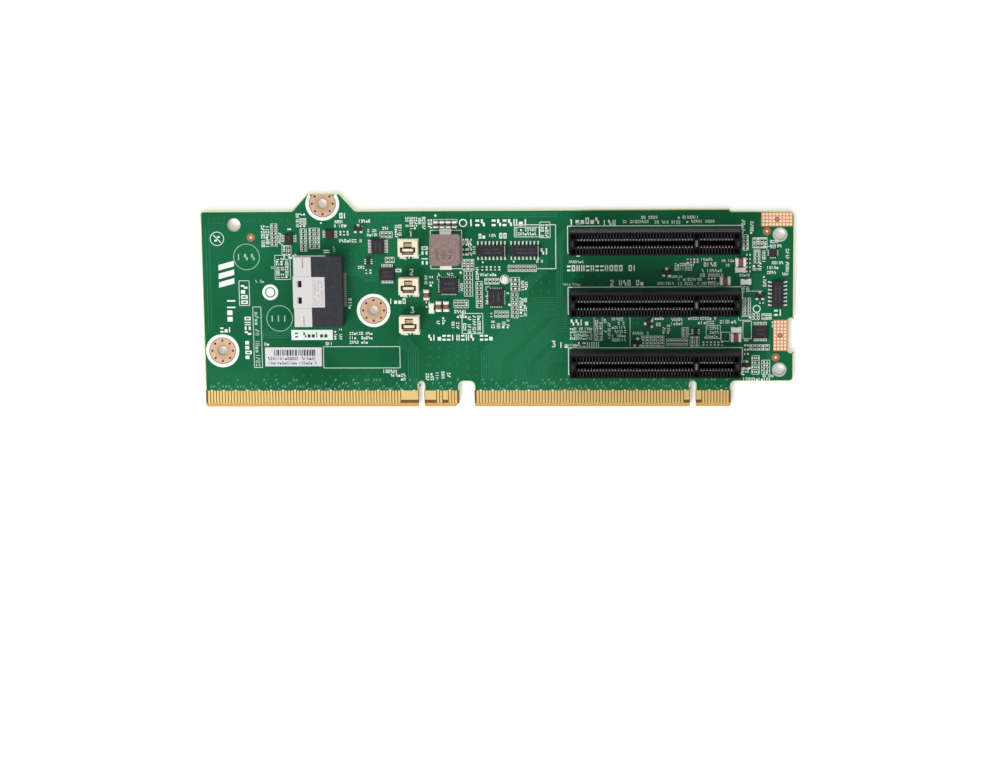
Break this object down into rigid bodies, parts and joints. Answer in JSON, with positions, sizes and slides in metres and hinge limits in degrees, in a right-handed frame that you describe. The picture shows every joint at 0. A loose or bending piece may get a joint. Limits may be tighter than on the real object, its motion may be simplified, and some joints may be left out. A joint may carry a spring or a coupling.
{
  "type": "pcie riser card",
  "caption": "Flat green circuit card with edge fingers in two in-line tabs, upright black card slots, a metal-hooded cable port, cream cable headers and an inductor",
  "frame": {"origin": "under the middle of the card, at the lowest point of the locating pegs and shell lugs that it rests on", "axes": "+X runs along the card to the end with the slots, +Y from the finger tabs to the top edge, +Z out of the parts side"},
  "size_m": [0.196, 0.0716, 0.0136],
  "materials": {
    "label_paper": "white printed sticker, matt",
    "laminate": "glass-fibre laminate with a glossy green solder mask, printed patterns in white",
    "chip_epoxy": "moulded epoxy, charcoal, matt",
    "tinned": "tin plating, satin",
    "fuse_body": "thin laminate chip, olive green",
    "bare_copper": "unmasked copper pads with a thin plated finish",
    "cream_nylon": "moulded plastic, cream",
    "iron_powder": "pressed metal powder, grey-brown, matt",
    "capacitor_ceramic": "fired ceramic, tan, satin",
    "gold": "gold plating on copper",
    "black_nylon": "glass-filled moulded plastic, black, slightly glossy",
    "shell_steel": "stamped sheet steel, bright nickel plating",
    "contact_bronze": "sprung bronze, plated"
  },
  "bodies": {
    "root": {"barcode_label": "label_paper", "board": "laminate", "clock_chip_body": "chip_epoxy", "control_chip_body": "chip_epoxy", "corner_chip_body": "chip_epoxy", "edge_chip_body": "chip_epoxy", "edge_chip_legs": "tinned", "fuse_bodies": "fuse_body", "fuse_ends": "tinned", "ground_pads": "bare_copper", "header_1_contacts": "tinned", "header_1_housing": "cream_nylon", "header_2_contacts": "tinned", "header_2_housing": "cream_nylon", "header_3_contacts": "tinned", "header_3_housing": "cream_nylon", "inductor_body": "iron_powder", "inductor_terminals": "tinned", "large_capacitor_bodies": "capacitor_ceramic", "large_capacitor_ends": "tinned", "left_fingers_lower": "gold", "left_fingers_upper": "gold", "port_chip_lower_body": "chip_epoxy", "port_chip_upper_body": "chip_epoxy", "port_contacts": "tinned", "port_housing": "black_nylon", "port_shell": "shell_steel", "power_chip_body": "chip_epoxy", "right_fingers_lower": "gold", "right_fingers_upper": "gold", "sensor_chip_left_body": "chip_epoxy", "sensor_chip_right_body": "chip_epoxy", "slot_1_contacts": "contact_bronze", "slot_1_housing": "black_nylon", "slot_2_contacts": "contact_bronze", "slot_2_housing": "black_nylon", "slot_3_contacts": "contact_bronze", "slot_3_housing": "black_nylon", "small_capacitor_bodies": "capacitor_ceramic", "small_capacitor_ends": "tinned", "transistor_bodies": "chip_epoxy", "transistor_legs": "tinned", "twin_chip_left_body": "chip_epoxy", "twin_chip_left_legs": "tinned", "twin_chip_right_body": "chip_epoxy", "twin_chip_right_legs": "tinned"}
  },
  "joints": []
}
